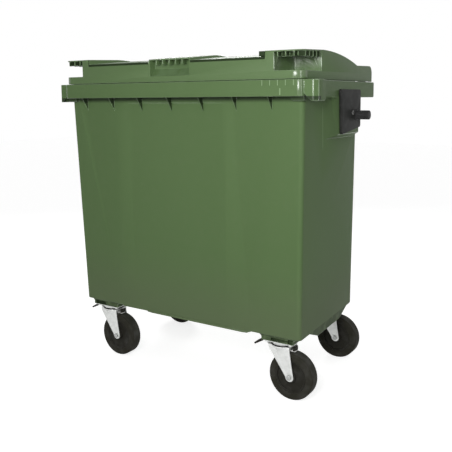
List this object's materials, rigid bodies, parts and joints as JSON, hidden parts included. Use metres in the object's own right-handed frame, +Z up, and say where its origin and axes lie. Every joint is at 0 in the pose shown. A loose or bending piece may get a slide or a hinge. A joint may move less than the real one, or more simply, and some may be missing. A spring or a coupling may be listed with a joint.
{
  "type": "waste container",
  "caption": "Wheeled plastic waste container with a flat hinged lid, side trunnions for lifting, and swivel castors with foot brakes.",
  "frame": {"origin": "on the ground below the middle of the whole outline", "axes": "+X to the container's right seen from the front, +Y to its rear where the lid is hinged, +Z up"},
  "size_m": [1.37, 0.788, 1.429],
  "materials": {
    "green_plastic": "semi-gloss moulded polyethylene, finely grained",
    "grey_plastic": "dark grey glass-filled plastic, satin",
    "black_plastic": "black plastic, satin",
    "dark_metal": "black coated steel",
    "zinc_steel": "bright zinc-plated pressed steel",
    "ball_steel": "polished steel balls, greased",
    "tyre_rubber": "solid black rubber",
    "seal_rubber": "soft black rubber"
  },
  "bodies": {
    "tub": {"tub": "green_plastic", "drain_plug": "black_plastic", "drain_seal": "seal_rubber", "hinge_pin_right": "zinc_steel", "hinge_pin_left": "zinc_steel", "trunnion_plate_right": "grey_plastic", "trunnion_plate_left": "grey_plastic", "trunnion_pin_right": "dark_metal", "trunnion_pin_left": "dark_metal", "trunnion_nuts": "zinc_steel", "trunnion_screws": "dark_metal", "trunnion_screw_nuts": "zinc_steel", "castor_bolts": "zinc_steel", "castor_nuts": "zinc_steel", "swivel_balls": "ball_steel", "front_right_castor_plate": "zinc_steel", "front_right_kingpin": "zinc_steel", "front_left_castor_plate": "zinc_steel", "front_left_kingpin": "zinc_steel", "rear_right_castor_plate": "zinc_steel", "rear_right_kingpin": "zinc_steel", "rear_left_castor_plate": "zinc_steel", "rear_left_kingpin": "zinc_steel"},
    "lid": {"lid": "green_plastic"},
    "front_right_swivel": {"front_right_fork": "zinc_steel", "front_right_axle_sleeve": "zinc_steel", "front_right_axle_bolt": "zinc_steel", "front_right_axle_nut": "zinc_steel", "front_right_brake_pin": "zinc_steel"},
    "front_right_wheel": {"front_right_wheel_rim": "black_plastic", "front_right_tyre": "tyre_rubber"},
    "front_right_brake": {"front_right_brake_lever": "zinc_steel", "front_right_brake_grips": "black_plastic"},
    "front_left_swivel": {"front_left_fork": "zinc_steel", "front_left_axle_sleeve": "zinc_steel", "front_left_axle_bolt": "zinc_steel", "front_left_axle_nut": "zinc_steel", "front_left_brake_pin": "zinc_steel"},
    "front_left_wheel": {"front_left_wheel_rim": "black_plastic", "front_left_tyre": "tyre_rubber"},
    "front_left_brake": {"front_left_brake_lever": "zinc_steel", "front_left_brake_grips": "black_plastic"},
    "rear_right_swivel": {"rear_right_fork": "zinc_steel", "rear_right_axle_sleeve": "zinc_steel", "rear_right_axle_bolt": "zinc_steel", "rear_right_axle_nut": "zinc_steel"},
    "rear_right_wheel": {"rear_right_wheel_rim": "black_plastic", "rear_right_tyre": "tyre_rubber"},
    "rear_left_swivel": {"rear_left_fork": "zinc_steel", "rear_left_axle_sleeve": "zinc_steel", "rear_left_axle_bolt": "zinc_steel", "rear_left_axle_nut": "zinc_steel"},
    "rear_left_wheel": {"rear_left_wheel_rim": "black_plastic", "rear_left_tyre": "tyre_rubber"}
  },
  "joints": [
    {"name": "lid_hinge", "type": "hinge", "parent": "tub", "child": "lid", "pos_m": [0, 0.36, 1.352], "axis": [-1, 0, 0], "range_deg": [0, 255]},
    {"name": "front_right_swivel_turn", "type": "hinge", "parent": "tub", "child": "front_right_swivel", "pos_m": [0.464, -0.256, 0.22], "axis": [0, 0, 1], "continuous": true},
    {"name": "front_right_wheel_roll", "type": "hinge", "parent": "front_right_swivel", "child": "front_right_wheel", "pos_m": [0.51197, -0.25768, 0.1], "axis": [0.0349, 0.9994, 0], "continuous": true},
    {"name": "front_right_brake_press", "type": "hinge", "parent": "front_right_swivel", "child": "front_right_brake", "pos_m": [0.45001, -0.25551, 0.205], "axis": [-0.0349, -0.9994, 0], "range_deg": [0, 8], "stiffness_Nm_per_rad": 0.6, "springref_deg": -28.65},
    {"name": "front_left_swivel_turn", "type": "hinge", "parent": "tub", "child": "front_left_swivel", "pos_m": [-0.464, -0.256, 0.22], "axis": [0, 0, 1], "continuous": true},
    {"name": "front_left_wheel_roll", "type": "hinge", "parent": "front_left_swivel", "child": "front_left_wheel", "pos_m": [-0.41603, -0.25768, 0.1], "axis": [0.0349, 0.9994, 0], "continuous": true},
    {"name": "front_left_brake_press", "type": "hinge", "parent": "front_left_swivel", "child": "front_left_brake", "pos_m": [-0.47799, -0.25551, 0.205], "axis": [-0.0349, -0.9994, 0], "range_deg": [0, 8], "stiffness_Nm_per_rad": 0.6, "springref_deg": -28.65},
    {"name": "rear_right_swivel_turn", "type": "hinge", "parent": "tub", "child": "rear_right_swivel", "pos_m": [0.464, 0.248, 0.22], "axis": [0, 0, 1], "continuous": true},
    {"name": "rear_right_wheel_roll", "type": "hinge", "parent": "rear_right_swivel", "child": "rear_right_wheel", "pos_m": [0.51197, 0.24632, 0.1], "axis": [0.0349, 0.9994, 0], "continuous": true},
    {"name": "rear_left_swivel_turn", "type": "hinge", "parent": "tub", "child": "rear_left_swivel", "pos_m": [-0.464, 0.248, 0.22], "axis": [0, 0, 1], "continuous": true},
    {"name": "rear_left_wheel_roll", "type": "hinge", "parent": "rear_left_swivel", "child": "rear_left_wheel", "pos_m": [-0.41603, 0.24632, 0.1], "axis": [0.0349, 0.9994, 0], "continuous": true}
  ]
}
